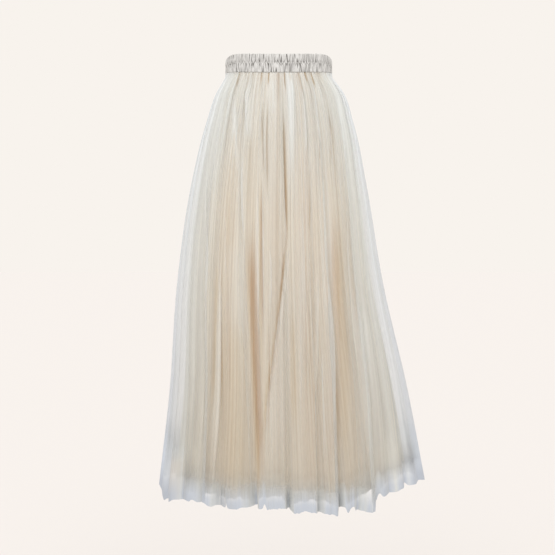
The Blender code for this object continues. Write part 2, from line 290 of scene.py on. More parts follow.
BACK_CREASES = [Crease(*row) for row in (
    (-0.029, 171, -0.29, 173, 0.008, 0.008, -0.004, 0.005, 0.8, 0.6),
    (-0.08, 176.5, -0.4, 177.8, 0.002, 0.0024, 0.005, -0.003, 0.1, -1.2),
    (-0.04, 153, -0.21, 157, 0.0046, 0.005, -0.003, 0.004, 0.6, 0.4),
    (-0.07, 196, -0.29, 193.5, 0.0015, 0.0015, 0.004, 0.002, 0.1, -0.8),
    (-0.032, 210, -0.2, 205, 0.005, 0.0052, -0.003, -0.004, 0.6, 0.5),
    (-0.06, 128, -0.26, 136, 0.005, 0.0056, -0.003, 0.003, 0.5, 0.3),
    (-0.075, 236, -0.29, 227, 0.0056, 0.006, -0.003, -0.003, 0.4, 0.3),
    (-0.3, 140, -0.78, 145, 0.015, 0.018, -0.003, 0, 0.3, 0.2),
    (-0.26, 162, -0.56, 163.5, 0.0024, 0.0028, -0.002, 0.005, 0.7, 0.4),
    (-0.42, 167, -0.925, 170, 0.006, 0.028, -0.005, 0, 0.5, 0.3),
    (-0.42, 179.5, -0.9, 181.5, 0.008, 0.01, 0.004, 0, -0.45, -0.6),
    (-0.33, 188, -0.7, 187, 0.0026, 0.0032, -0.002, -0.005, 0.7, 0.4),
    (-0.44, 197, -0.938, 195, 0.0042, 0.0048, -0.004, 0.008, 0.8, 0.5),
    (-0.28, 207, -0.62, 204, 0.0028, 0.0032, 0.005, 0, -0.4, -0.6),
    (-0.35, 219, -0.85, 211, 0.018, 0.021, -0.003, 0, 0.3, 0.2),
    (-0.51, 224, -0.9, 217, 0.0026, 0.003, -0.002, 0.005, 0.6, 0.4),
    (-0.31, 146, -0.69, 150, 0.003, 0.0034, -0.003, -0.006, 0.8, 0.5),
    (-0.38, 132, -0.93, 139, 0.01, 0.01, 0.006, 0, -0.5, -0.5),
    (-0.23, 110, -0.7, 124, 0.012, 0.015, -0.003, 0.004, 0.4, 0.2),
    (-0.26, 250, -0.76, 236, 0.012, 0.015, -0.003, -0.004, 0.4, 0.2),
    (-0.48, 118, -0.9, 129, 0.0026, 0.003, -0.002, 0.005, 0.6, 0.4),
    (-0.42, 242, -0.88, 229, 0.0028, 0.0034, 0.005, 0, -0.4, -0.5),
    (-0.2, 100, -0.56, 108, 0.004, 0.0046, -0.002, 0.005, 0.5, 0.3),
    (-0.18, 259, -0.54, 252, 0.004, 0.0046, -0.002, -0.005, 0.5, 0.3),
    (-0.55, 98, -0.93, 106, 0.008, 0.009, 0.005, 0, -0.3, -0.3),
    (-0.6, 262, -0.93, 255, 0.007, 0.009, -0.003, 0.006, 0.5, 0.3),
)]
# A crease wider than this has an even middle and firmer edges
BROAD = 0.009
# Shares of its length over which a crease fades in at its top and out at its foot
CREASE_TAPER = (0.28, 0.36)
# How narrow a crease is at its ends, as a share of its width
CREASE_TIP = 0.5
# How steep its two flanks are: gentle on the side it leans to, steep on the other
CREASE_FLANKS = (0.8, 1.5)
# A crease whose painted shade is this dark or darker goes through all the layers
DEEP_TONE = -0.5

# Short creases where the net is drawn in under the band, painted dark as painted shade: where each
# starts and ends, the side it leans to and its tone, the strength of that painted shade. All start at
# one height and have one half width, depth and lean
Tuck = namedtuple("Tuck", "top_deg low low_deg side tone")
TUCKS = [Tuck(*row) for row in (
    (-47, -0.052, -44, 1, -1.3), (-38.5, -0.048, -36.5, -1, -1.1),
    (-29, -0.056, -27, 1, -1.4), (-18.2, -0.05, -17.4, 1, -1.3),
    (-10.4, -0.054, -10, -1, -1.3), (5.5, -0.066, 5.2, 1, -1.9),
    (10.6, -0.05, 10.2, -1, -1.1), (20.8, -0.052, 20, 1, -1.3),
    (28, -0.048, 27, -1, -1.1), (37, -0.056, 35, 1, -1.2),
    (47.5, -0.05, 45.5, 1, -1), (118, -0.05, 120, 1, -1.1),
    (133, -0.054, 134.5, -1, -1.3), (146, -0.048, 147, 1, -1.2),
    (161, -0.056, 161.5, 1, -1.4), (169, -0.049, 169.3, -1, -1.1),
    (183, -0.061, 183, 1, -1.6), (195.5, -0.05, 195, -1, -1.2),
    (208, -0.055, 207, 1, -1.3), (224, -0.048, 222.5, -1, -1.1),
    (241, -0.052, 239, 1, -1.2),
)]
TUCK_TOP = -0.008
TUCK_WIDTH = 0.0010
TUCK_DEPTH = 0.0012
TUCK_LEAN = 0.0004

# Steps in the hem, where one fold hangs above the next: place, rise and half width
Notch = namedtuple("Notch", "deg rise half_width")
HEM_NOTCHES = [Notch(*row) for row in (
    (-68, 0.004, 0.012), (-45, 0.006, 0.005), (-37, 0.004, 0.014), (-24.2, 0.01, 0.003),
    (-6.2, 0.01, 0.003), (0.5, 0.003, 0.01), (7, -0.004, 0.01), (24, 0.017, 0.0055),
    (27.5, 0.01, 0.008), (36.8, -0.014, 0.019), (43, 0.01, 0.004), (50.5, -0.005, 0.012),
    (59, 0.007, 0.008), (98, 0.008, 0.005), (117, 0.012, 0.004), (131, -0.006, 0.016),
    (146, 0.01, 0.004), (158, 0.007, 0.003), (170, -0.005, 0.014), (184, 0.011, 0.004),
    (199, 0.009, 0.003), (208, -0.005, 0.014), (221, 0.014, 0.004), (238, 0.008, 0.004),
    (255, 0.01, 0.005),
)]
NOTCH_POWER = 2.5

# The cut of one half of each layer: width before it was gathered, and length
OUTER_CUT = (1.20, 0.92)
MIDDLE_CUT = (0.82, 0.91)

# Camera and room
CAMERA_PLACE = (-0.0029, -2.70, -0.3544)
CAMERA_PITCH = math.radians(2.44)
LENS = 77.56
FLOOR_LEVEL = -1.60
FLOOR_SIZE = 60.0
BACKGROUND = (0.939, 0.896, 0.847)
FLOOR_COLOR = (0.720, 0.703, 0.696)
KEY_STRENGTH = 1.75
KEY_DIRECTION = (math.radians(48.0), 0.0, math.radians(-2.0))
KEY_SOFTNESS = math.radians(50.0)

# Colours, linear
NUDE = (0.84, 0.66, 0.435, 1.0)
# The lining painted darker towards the hem, and darker still in its deep creases: painted shade
NUDE_LOW_PAINTED_SHADE = (0.575, 0.395, 0.22, 1.0)
NUDE_SHADE = (0.48, 0.26, 0.13, 1.0)
BAND_COLOR = (0.615, 0.615, 0.61, 1.0)
BAND_DEEP = (0.535, 0.535, 0.525, 1.0)
# Painted shade in the ruche creases of the band
BAND_SHADE = (0.15, 0.14, 0.13, 1.0)
THREAD_COLOR = (0.62, 0.61, 0.58, 1.0)


def lerp(a, b, share):
    return a + (b - a) * share


def smooth_line(levels, values, at):
    """A smooth line through the values at rising levels, read at any number of places."""
    levels = np.asarray(levels, float)
    values = np.asarray(values, float)
    at = np.clip(at, levels[0], levels[-1])
    slopes = np.gradient(values, levels)
    index = np.clip(np.searchsorted(levels, at, side="right") - 1, 0, len(levels) - 2)
    width = levels[index + 1] - levels[index]
    t = (at - levels[index]) / width
    return (
        (1 + 2 * t) * (1 - t) ** 2 * values[index]
        + t * (1 - t) ** 2 * width * slopes[index]
        + t * t * (3 - 2 * t) * values[index + 1]
        + t * t * (t - 1) * width * slopes[index + 1]
    )


def section_value(rows, field, z):
    """One column of a table of sections, read at heights z."""
    levels = [section.z for section in SECTIONS][::-1]
    values = [getattr(row, field) for row in rows][::-1]
    return smooth_line(levels, values, z)


def outline(z, degrees):
    """Points of the outer outline at heights z, with their outward normals."""
    angle = np.radians(degrees)
    sine, cosine = np.sin(angle), np.cos(angle)
    right, left, front, back = (
        section_value(SECTIONS, side, z) for side in ("right", "left", "front", "back")
    )
    half_x = np.where(sine >= 0, right, left)
    half_y = np.where(cosine >= 0, front, back)
    x, y = half_x * sine, -half_y * cosine
    nx, ny = x / half_x**2, y / half_y**2
    length = np.hypot(nx, ny)
    return x, y, nx / length, ny / length


def fan_share(z):
    """How far a fold has swung from its place round the waist to its place round the hem."""
    share = (CLOTH_TOP - z) / (CLOTH_TOP - HEM_LEVEL)
    return np.clip(share, 0.0, None) ** FAN_POWER


def side_lift(degrees):
    return SIDE_LIFT * np.sin(np.radians(degrees)) ** 2


def hem_table(degrees):
    turned = (degrees - LEFT_SEAM) % FULL_TURN + LEFT_SEAM
    return np.interp(turned, [p.deg for p in OUTER_HEM], [p.z for p in OUTER_HEM])


def outer_hem(degrees):
    return hem_table(degrees) + hem_steps(degrees)


def middle_hem(degrees):
    return hem_table(degrees) + MIDDLE_HEM_RISE


def lining_hem(degrees):
    return np.full_like(degrees, LINING_HEM)


# A valley of a panel: its place round the waist and the hem, and its depth as shares of both folds
Valley = namedtuple("Valley", "waist_deg hem_deg main gather")


def valleys_of(folds, end):
    """The same valleys as the CAD part has, with the same random draws."""
    rng = random.Random(FORM_SEED)
    lines = folds + [end]
    valleys = []
    for fold, following in zip(lines, lines[1:]):
        for step in range(fold.gathers):
            share = step / fold.gathers
            if step:
                share += rng.uniform(-VALLEY_SHIFT, VALLEY_SHIFT) / fold.gathers
            waist = lerp(fold.waist_deg, following.waist_deg, share)
            hem = lerp(fold.hem_deg, following.hem_deg, share)
            gather = rng.uniform(LEAST_GATHER, 1.0) if step else 0.0
            valleys.append(Valley(waist, hem, 0.0 if step else fold.depth, gather))
    valleys.append(Valley(end.waist_deg, end.hem_deg, end.depth, 0.0))
    return valleys


def even_folds(start, halves):
    """Folds of an inner layer over one half, as in the CAD part."""
    count, gathers = halves
    rng = random.Random(FORM_SEED + int(start))
    width = (RIGHT_SEAM - LEFT_SEAM) / count
    folds = []
    for step in range(count):
        shift = rng.uniform(-INNER_SHIFT, INNER_SHIFT) if step else 0.0
        place = start + width * (step + shift)
        folds.append(Fold(place, place, gathers, rng.uniform(LEAST_INNER_FOLD, 1.0)))
    return folds


def wander(rng, around, down, waves):
    """A slow random field from a few sine waves, from -1 to 1."""
    around, down = around * waves.scale_round, down * waves.scale_down
    total = np.zeros(np.broadcast(around, down).shape)
    for _ in range(waves.count):
        total += np.sin(
            rng.uniform(waves.low, waves.high) * around
            + rng.uniform(-waves.down, waves.down) * down
            + rng.uniform(0, 2 * math.pi)
        )
    return total / waves.count


def eased(share):
    share = np.clip(share, 0.0, 1.0)
    return share * share * (3 - 2 * share)


def tuck_crease(tuck):
    return Crease(
        TUCK_TOP, tuck.top_deg, tuck.low, tuck.low_deg, TUCK_WIDTH, TUCK_WIDTH,
        TUCK_DEPTH, tuck.side * TUCK_LEAN, 0.0, tuck.tone,
    )


def degrees_past(degrees, middle):
    """How far each place is past the middle, the short way round."""
    return (degrees - middle + FULL_TURN / 2) % FULL_TURN - FULL_TURN / 2


def crease_fields(creases, degrees, z, metres):
    """What the creases add at each point: depth, slide to the side, gathered net and tone, which is
    painted shade in the dark creases and painted light in the light ones.
    """
    fields = [np.zeros_like(z) for _ in range(4)]
    for crease in creases:
        run = (crease.top - z) / (crease.top - crease.low)
        middle = lerp(crease.top_deg, crease.low_deg, run)
        width = lerp(crease.top_width, crease.low_width, np.clip(run, 0.0, 1.0))
        taper = eased(run / CREASE_TAPER[0]) * eased((1 - run) / CREASE_TAPER[1])
        away = degrees_past(degrees, middle) * metres / width
        if crease.low_width > BROAD:
            share = np.exp(-np.abs(away) ** 4) * taper
        else:
            away = away * np.where(away * crease.lean < 0, *CREASE_FLANKS)
            away = away / lerp(CREASE_TIP, 1.0, taper)
            share = np.exp(-(away**2)) * taper
        amounts = (crease.depth, crease.lean, crease.gathered, crease.tone)
        for field, amount in zip(fields, amounts):
            field += amount * share
    return fields


def hem_steps(degrees):
    """How far the notches lift the hem at each place round it."""
    hem = SECTIONS[-1]
    angle = np.radians(degrees)
    half_x = np.where(np.sin(angle) >= 0, hem.right, hem.left)
    half_y = np.where(np.cos(angle) >= 0, hem.front, hem.back)
    metres = np.hypot(half_x * np.cos(angle), half_y * np.sin(angle)) * math.pi / 180
    rise = np.zeros_like(degrees)
    for notch in HEM_NOTCHES:
        away = degrees_past(degrees, notch.deg) * metres
        rise += notch.rise * np.exp(-np.abs(away / notch.half_width) ** NOTCH_POWER)
    return rise


def side_share(degrees, reach):
    """1 at the side seams and 0 at the front and back, where the folds show most."""
    half = RIGHT_SEAM - LEFT_SEAM
    away = np.abs((degrees - RIGHT_SEAM + half / 2) % half - half / 2)
    return eased(1 - away / reach)


def crowding(points, nx, ny):
    """How densely net stands where it turns edge-on to the outside: 1 where it lies flat."""
    normal = np.cross(np.gradient(points, axis=1), np.gradient(points, axis=0))
    normal /= np.linalg.norm(normal, axis=-1, keepdims=True) + 1e-12
    facing = np.abs(normal[..., 0] * nx + normal[..., 1] * ny)
    return 1 / np.clip(facing, LEAST_FACING, 1.0) ** CROWDING


def cloth_panel(name, folds, end, cloth, depths, hem_of, hand_creases, seed):
    """One half of a layer as a thin shell, from seam to seam.

    Its UV map is in shares of the cut. Each point has the net gathered there, its tone, which is
    painted light and painted shade with some random tone, how cool it is, and how far it is turned
    edge-on.
    """
    rng = random.Random(seed)
    valleys = valleys_of(folds, end)
    cells = len(valleys) - 1
    columns = cells * cloth.columns_a_gather + 1
    place = np.linspace(0.0, cells, columns)[None, :]
    down = np.linspace(0.0, 1.0, cloth.rows)[:, None]
    drop = down**ROW_POWER
    cell = np.clip(np.floor(place).astype(int), 0, cells - 1)
    x = place - cell

    def of(field, index):
        return np.array([getattr(valley, field) for valley in valleys])[index]

    waist = lerp(of("waist_deg", cell), of("waist_deg", cell + 1), x)
    hem = lerp(of("hem_deg", cell), of("hem_deg", cell + 1), x)
    at_seams = np.clip(np.minimum(place, cells - place) / SEAM_FADE, 0.0, 1.0)
    ripple = wander(rng, place, 0.0, HEM_WAVES)
    ripple = ripple + FINE_RIPPLE * wander(rng, place, 0.0, FINE_HEM_WAVES)
    bottom = hem_of(hem) + ripple * cloth.hem_ripple * at_seams
    top = CLOTH_TOP + side_lift(waist)
    z = top + (bottom - top) * drop
    inside = np.maximum(z, HEM_LEVEL)
    degrees = lerp(waist, hem, fan_share(z))
    base, main_fold, gather_fold = depths(inside)

    # Valleys: each has its own width, which wanders on the way down, and leans to one side.
    # Most let go of their lean below the hips, and the main folds keep more of it
    side = side_share(degrees, SIDE_REACH)
    calm = 1 - SIDE_CALM * side
    width = np.array([rng.uniform(*VALLEY_WIDTH) for _ in valleys])
    lean = np.array([rng.choice((-1, 1)) * rng.uniform(*VALLEY_LEAN) for _ in valleys])
    painted_shade = np.array([rng.choice(VALLEY_PAINTED_SHADE) for _ in valleys])
    weight = np.array([1.0 if valley.main else rng.choice(GATHER_STRENGTHS) for valley in valleys])
    keeps = [LEAN_KEPT if valley.main else (0.0, LEAN_KEPT[0]) for valley in valleys]
    kept = np.array([rng.uniform(*limits) for limits in keeps])
    lean[0] = lean[-1] = 0.0
    depth = np.zeros_like(z)
    shift = np.zeros_like(z)
    floor = np.zeros_like(z)
    for beyond, away in ((0, x), (1, 1 - x)):
        index = cell + beyond
        swing = wander(rng, index, down, WIDTH_WAVES)
        spread = width[index] * (1 + WIDTH_WANDER * swing)
        spread = spread * (1 + WIDTH_GAINED * drop)
        trough = np.exp(-((away / spread) ** VALLEY_POWER))
        gather = of("gather", index) * gather_fold * lerp(1.0, GATHER_KEPT, drop)
        fold = (of("main", index) * main_fold + gather) * weight[index]
        depth += fold * trough * calm
        # Painted shade: each valley's floor is painted darker, more for a main fold than for a gather
        sunk = of("main", index) + GATHER_PAINTED_SHADE * of("gather", index)
        floor += trough * sunk * painted_shade[index] * weight[index]
        held = lerp(1.0, kept[index], eased(drop / LEAN_DROP))
        shift += lean[index] * weight[index] * trough * held
    # Small gathers ride on the folds, close under the band and softer further down
    mean, swing = SMALL_STRENGTH
    strength = calm * (mean + swing * wander(rng, place, down, STRENGTH_WAVES))
    turn = 2 * math.pi * cloth.small_gathers * place
    turn = turn + SMALL_WANDER * wander(rng, place, down, PLACE_WAVES)
    small = strength * np.interp(drop, *SMALL_FADE) * at_seams
    depth += cloth.small_depth * small * (1 - np.cos(turn))
    depth += BILLOW * wander(rng, place, down, BILLOW_WAVES) * at_seams * drop

    px, py, nx, ny = outline(inside, degrees)
    pitch = np.hypot(np.gradient(px, axis=1), np.gradient(py, axis=1))
    metres = pitch / np.gradient(degrees, axis=1)
    pitch = pitch * cloth.columns_a_gather
    slide = cloth.lean * pitch * shift
    slide += cloth.lean * 0.5 * pitch / cloth.small_gathers * small * np.sin(turn)
    slide += cloth.sway * wander(rng, place, down, SWAY_WAVES) * drop
    laid, leaning, gathered, tone = crease_fields(hand_creases, degrees, z, metres)
    depth += laid
    slide = (slide + leaning) * at_seams
    inset = base + np.maximum(depth, -MOST_PROUD) - TOP_PROUD * eased(1 - drop / TOP_REACH)
    points = np.stack([px - nx * inset - ny * slide, py - ny * inset + nx * slide, z], axis=-1)
    uv = np.stack(np.broadcast_arrays(place / cells, 1 - drop), axis=-1)
    obj = grid_object(name, points, uv)
    broad = wander(rng, place, down, NET_WAVES)
    crowd = crowding(points, nx, ny)
    net = crowd * np.clip(1 + gathered + NET_SWING * broad * calm, *NET_LIMITS)
    reach = lerp(*SIDE_NET_REACH, drop)
    net = net * (1 + SIDE_NET * side_share(degrees, reach) * (1 + NET_SWING * broad))
    net = net * (1 + HEM_NET * side * eased((drop - HEM_NET_FROM) / HEM_NET_FADE))
    # Painted light on the flanks turned edge-on, and random tone from the dense places; the tone
    # below also takes the painted shade of the valley floors and of the dark creases
    light = FLANK_PAINTED_LIGHT * (crowd - 1) + BROAD_TONE * broad
    point_field(obj, "net", net)
    point_field(obj, "tone", tone + calm * (light - floor * np.interp(drop, *VALLEY_SHADE)))
    point_field(obj, "cool", SIDE_COOL * side_share(degrees, SIDE_COOL_REACH))
    point_field(obj, "turned", np.clip((crowd - 1) / WHOLLY_TURNED, 0.0, 1.0))
    return obj


def point_field(obj, name, values):
    field = obj.data.attributes.new(name, "FLOAT", "POINT")
    field.data.foreach_set("value", np.asarray(values, np.float32).ravel())


def outer_depths(z):
    return 0.0, section_value(SECTIONS, "main_fold", z), section_value(SECTIONS, "gather", z)


def middle_depths(z):
    fold = section_value(INNER_LAYERS, "middle_fold", z)
    return section_value(INNER_LAYERS, "middle_inset", z), fold, fold


def lining_depths(z):
    fold = section_value(INNER_LAYERS, "lining_fold", z)
    return section_value(INNER_LAYERS, "lining_inset", z), fold, fold


def grid_object(name, points, uv=None, closed=False):
    """A mesh of quads through a grid of points. A closed grid joins up both ways, like a ring."""
    rows, columns = points.shape[:2]
    index = np.arange(rows * columns).reshape(rows, columns)
    if closed:
        below, beside = np.roll(index, -1, axis=0), np.roll(index, -1, axis=1)
        corner = np.roll(below, -1, axis=1)
    else:
        index, below = index[:-1, :-1], index[1:, :-1]
        beside, corner = index + 1, below + 1
    faces = np.stack([index, below, corner, beside], axis=-1).reshape(-1, 4)
    mesh = bpy.data.meshes.new(name)
    mesh.from_pydata(points.reshape(-1, 3).tolist(), [], faces.tolist())
    if uv is not None:
        layer = mesh.uv_layers.new(name="cloth")
        layer.uv.foreach_set("vector", uv.reshape(-1, 2)[faces.ravel()].astype(np.float32).ravel())
    mesh.shade_smooth()
    obj = bpy.data.objects.new(name, mesh)
    bpy.context.scene.collection.objects.link(obj)
    return obj


class Nodes:
    """A short way to write shader nodes for one material."""

    def __init__(self, name):
        self.material = bpy.data.materials.new(name)
        self.material.use_nodes = True
        self.tree = self.material.node_tree
        self.shader = self.tree.nodes["Principled BSDF"]

    def link(self, source, target):
        self.tree.links.new(source, target)

    def fill(self, socket, value):
        if isinstance(value, bpy.types.NodeSocket):
            self.link(value, socket)
        else:
            socket.default_value = value

    def math(self, operation, a, b=0.0, c=0.0):
        node = self.tree.nodes.new("ShaderNodeMath")
        node.operation = operation
        for socket, value in zip(node.inputs, (a, b, c)):
            self.fill(socket, value)
        return node.outputs[0]

    def ranged(self, value, low, high, to_low, to_high):
        node = self.tree.nodes.new("ShaderNodeMapRange")
        for socket, given in zip(node.inputs, (value, low, high, to_low, to_high)):
            self.fill(socket, given)
        return node.outputs[0]

    def noise(self, vector, scale, detail=2.0, roughness=0.5):
        node = self.tree.nodes.new("ShaderNodeTexNoise")
        self.link(vector, node.inputs["Vector"])
        node.inputs["Scale"].default_value = scale
        node.inputs["Detail"].default_value = detail
        node.inputs["Roughness"].default_value = roughness
        return node.outputs["Fac"]

    def uv(self):
        node = self.tree.nodes.new("ShaderNodeUVMap")
        node.uv_map = "cloth"
        return node.outputs["UV"]

    def field(self, name):
        node = self.tree.nodes.new("ShaderNodeAttribute")
        node.attribute_name = name
        return node.outputs["Fac"]

    def place(self):
        return self.tree.nodes.new("ShaderNodeTexCoord").outputs["Object"]

    def scaled(self, vector, scale):
        node = self.tree.nodes.new("ShaderNodeMapping")
        self.link(vector, node.inputs["Vector"])
        node.inputs["Scale"].default_value = scale
        return node.outputs["Vector"]

    def split(self, vector):
        node = self.tree.nodes.new("ShaderNodeSeparateXYZ")
        self.link(vector, node.inputs["Vector"])
        return node.outputs

    def blend(self, share, a, b):
        node = self.tree.nodes.new("ShaderNodeMix")
        node.data_type = "RGBA"
        self.fill(node.inputs["Factor"], share)
        self.fill(node.inputs[6], a)
        self.fill(node.inputs[7], b)
        return node.outputs[2]

    def finish(self, color, roughness, sheen=0.0):
        self.link(color, self.shader.inputs["Base Color"])
        self.shader.inputs["Roughness"].default_value = roughness
        self.shader.inputs["Sheen Weight"].default_value = sheen

    def bump(self, height, strength, distance):
        node = self.tree.nodes.new("ShaderNodeBump")
        self.link(height, node.inputs["Height"])
        node.inputs["Strength"].default_value = strength
        node.inputs["Distance"].default_value = distance
        self.link(node.outputs["Normal"], self.shader.inputs["Normal"])


# Tulle: its colour above and low down (darker, as painted shade), at the hem, its painted shade,
# its painted light above and low down, and at the sides (a little lighter, partly painted light); how
# much of the view its threads cover, from hem to waist; how strong its streaks are; and its cut
Tulle = namedtuple("Tulle", "color low hem shade light light_low edge edge_low covers streaks cut")
OUTER_TULLE = Tulle(
    color=(0.745, 0.765, 0.755, 1.0),
    low=(0.555, 0.57, 0.56, 1.0),
    hem=(0.385, 0.424, 0.49, 1.0),
    shade=(0.46, 0.38, 0.27, 1.0),
    light=(0.79, 0.84, 0.87, 1.0),
    light_low=(0.64, 0.63, 0.58, 1.0),
    edge=(0.735, 0.785, 0.835, 1.0),
    edge_low=(0.53, 0.605, 0.73, 1.0),
    covers=(0.94, 0.86, 0.22, 0.19, 0.30),
    streaks=0.24,
    cut=OUTER_CUT,
)
MIDDLE_TULLE = Tulle(
    color=(0.79, 0.785, 0.74, 1.0),
    low=(0.655, 0.6, 0.49, 1.0),
    hem=(0.395, 0.375, 0.335, 1.0),
    shade=(0.46, 0.34, 0.21, 1.0),
    light=(0.86, 0.87, 0.81, 1.0),
    light_low=(0.74, 0.7, 0.6, 1.0),
    edge=(0.86, 0.87, 0.81, 1.0),
    edge_low=(0.74, 0.7, 0.6, 1.0),
    covers=(0.97, 0.95, 0.48, 0.48, 0.58),
    streaks=0.24,
    cut=MIDDLE_CUT,
)
# Shares of the height where the covers above hold, and where the low colour, darker as painted
# shade, is reached
COVER_HEIGHTS = (0.0, 0.012, 0.055, 0.65, 1.0)
LOW_HEIGHT = 0.07
# The hem's own colour: its share there, the height up to which it is whole, and how much of it is
# left on a turned flank
HEM_SHARE = 0.9
HEM_HEIGHT = 0.015
HEM_ON_FLANKS = 0.35
# Width and length of the fine and the broad streaks along the cloth, and the share of each
FINE_STREAK = (0.005, 2.5)
BROAD_STREAK = (0.045, 0.7)
STREAK_SHARES = (0.8, 0.2)
STREAK_TONE = 0.2
# Most values of a noise lie in this range
NOISE_RANGE = (0.3, 0.7)
# The net: its pitch, the ways its threads run, how thin they are, and the cover of holes and threads
NET_PITCH = 0.0016
THREAD_WAYS = (0.0, 60.0, 120.0)
THREAD_POWER = 6.0
THREAD_COVER = (0.85, 1.25)


def net_threads(nodes, cut):
    """1 on a thread of the net and 0 in its holes: three sets of threads, 60 degrees apart."""
    uv = nodes.split(nodes.scaled(nodes.uv(), (cut[0], cut[1], 1.0)))
    thread = 0.0
    for degrees in THREAD_WAYS:
        angle = math.radians(degrees)
        across = nodes.math("MULTIPLY", uv[0], math.cos(angle) * math.pi / NET_PITCH)
        along = nodes.math("MULTIPLY_ADD", uv[1], math.sin(angle) * math.pi / NET_PITCH, across)
        line = nodes.math("ABSOLUTE", nodes.math("COSINE", along))
        line = nodes.math("POWER", line, THREAD_POWER)
        thread = nodes.math("MAXIMUM", thread, line)
    return thread


def streaks(nodes, uv, cut, size, roughness):
    """Noise drawn out along the cloth, to a width and length in metres of the cut."""
    stretch = (cut[0] / size[0], cut[1] / size[1], 1.0)
    return nodes.noise(nodes.scaled(uv, stretch), 1.0, 2.0, roughness)


def tulle_material(name, tulle):
    nodes = Nodes(name)
    uv = nodes.uv()
    height = nodes.split(uv)[1]
    fine = streaks(nodes, uv, tulle.cut, FINE_STREAK, 0.6)
    broad = streaks(nodes, uv, tulle.cut, BROAD_STREAK, 0.5)
    fine = nodes.math("MULTIPLY", fine, STREAK_SHARES[0])
    broad = nodes.math("MULTIPLY", broad, STREAK_SHARES[1])
    streak = nodes.math("ADD", fine, broad)

    # What the threads cover, and how many layers of net stand there
    cover = tulle.covers[0]
    for step in range(1, len(COVER_HEIGHTS)):
        low, high = COVER_HEIGHTS[step - 1], COVER_HEIGHTS[step]
        rise = nodes.ranged(height, low, high, 0.0, tulle.covers[step] - tulle.covers[step - 1])
        cover = nodes.math("ADD", rise, cover)
    density = nodes.ranged(streak, *NOISE_RANGE, 1.0 - tulle.streaks, 1.0 + tulle.streaks)
    threads = nodes.ranged(net_threads(nodes, tulle.cut), 0.0, 1.0, *THREAD_COVER)
    cover = nodes.math("MULTIPLY", nodes.math("MULTIPLY", cover, density), threads)
    holes = nodes.math("SUBTRACT", 1.0, cover)
    alpha = nodes.math("SUBTRACT", 1.0, nodes.math("POWER", holes, nodes.field("net")))
    nodes.link(alpha, nodes.shader.inputs["Alpha"])

    # Colour by height, darker lower down as painted shade; then painted shade and painted light by
    # tone; then the cool sides, painted a little lighter; then the hem
    color = nodes.blend(nodes.ranged(height, LOW_HEIGHT, 1.0, 1.0, 0.0), tulle.color, tulle.low)
    cool = nodes.field("cool")
    streak_tone = nodes.ranged(streak, *NOISE_RANGE, -STREAK_TONE, STREAK_TONE)
    streak_tone = nodes.math("MULTIPLY", streak_tone, nodes.math("SUBTRACT", 1.0, cool))
    tone = nodes.math("ADD", nodes.field("tone"), streak_tone)
    color = nodes.blend(nodes.ranged(tone, -1.0, 0.0, 1.0, 0.0), color, tulle.shade)
    light = nodes.blend(height, tulle.light_low, tulle.light)
    color = nodes.blend(nodes.ranged(tone, 0.0, 1.0, 0.0, 1.0), color, light)
    color = nodes.blend(cool, color, nodes.blend(height, tulle.edge_low, tulle.edge))
    hem = nodes.ranged(height, HEM_HEIGHT, LOW_HEIGHT, HEM_SHARE, 0.0)
    flat = nodes.ranged(nodes.field("turned"), 0.0, 1.0, 1.0, HEM_ON_FLANKS)
    color = nodes.blend(nodes.math("MULTIPLY", hem, flat), color, tulle.hem)
    nodes.finish(color, 0.75, 0.15)
    nodes.shader.inputs["Specular IOR Level"].default_value = 0.2
    return nodes.material


def lining_material():
    nodes = Nodes("nude_lining")
    uv = nodes.uv()
    drape = nodes.noise(nodes.scaled(uv, (14.0, 1.2, 1.0)), 1.0, 3.0)
    # Painted shade: the lining darker towards the hem, with random streaks in it
    low = nodes.ranged(nodes.split(uv)[1], 0.0, 1.0, 1.0, 0.0)
    share = nodes.math("ADD", low, nodes.ranged(drape, *NOISE_RANGE, -0.3, 0.3))
    color = nodes.blend(nodes.ranged(share, 0.0, 1.0, 0.0, 1.0), NUDE, NUDE_LOW_PAINTED_SHADE)
    # Painted shade in the deep creases
    color = nodes.blend(nodes.ranged(nodes.field("tone"), -1.0, 0.0, 1.0, 0.0), color, NUDE_SHADE)
    weave = nodes.noise(nodes.scaled(uv, (900.0, 1300.0, 1.0)), 1.0, 1.0)
    nodes.bump(weave, 0.25, 0.0003)
    nodes.finish(color, 0.55, 0.2)
    return nodes.material


def band_material():
    nodes = Nodes("ruched_casing")
    place = nodes.place()
    mottle = nodes.noise(place, 120.0, 3.0)
    color = nodes.blend(nodes.ranged(mottle, 0.35, 0.65, 0.0, 1.0), BAND_COLOR, BAND_DEEP)
    # Painted shade in the ruche creases
    color = nodes.blend(nodes.field("tone"), color, BAND_SHADE)
    weave = nodes.noise(place, 2600.0, 2.0)
    nodes.bump(weave, 0.3, 0.0003)
    nodes.finish(color, 0.65, 0.25)
    return nodes.material


def thread_material():
    nodes = Nodes("sewing_thread")
    twist = nodes.noise(nodes.place(), 4000.0, 1.0)
    nodes.bump(twist, 0.4, 0.0002)
    nodes.finish(nodes.blend(twist, THREAD_COLOR, BAND_COLOR), 0.5)
    return nodes.material


# Waistband: mesh size, and the creases that the elastic draws into each of its two channels
BAND_COLUMNS = 1500
BAND_OUTER_ROWS = 34
BAND_INNER_ROWS = 5
BAND_SEED = 23
BAND_ROUND = math.pi * (BAND_HALF_WIDTH + BAND_HALF_DEPTH)
CHANNEL_PUFF = 0.0012
PUFF_POWER = 0.55
EDGE_LIP = 0.00048
CORNER_DROP = 0.012
CORNER_POWER = 15
# The whole band puckers a little: in depth, and in height at its edges
PUCKER_DEPTH = 0.0006
PUCKER_HEIGHT = 0.0007
# How much wider creases are drawn at the ends of the band, where they crowd together
END_WIDENING = 0.6
# Creases at least this deep get the whole painted shade
SHADED_DEPTH = 0.0030
CROSSED_SHADED_DEPTH = 0.0024
RUCHES_A_CHANNEL = 200
CROSSED_RUCHES = 150
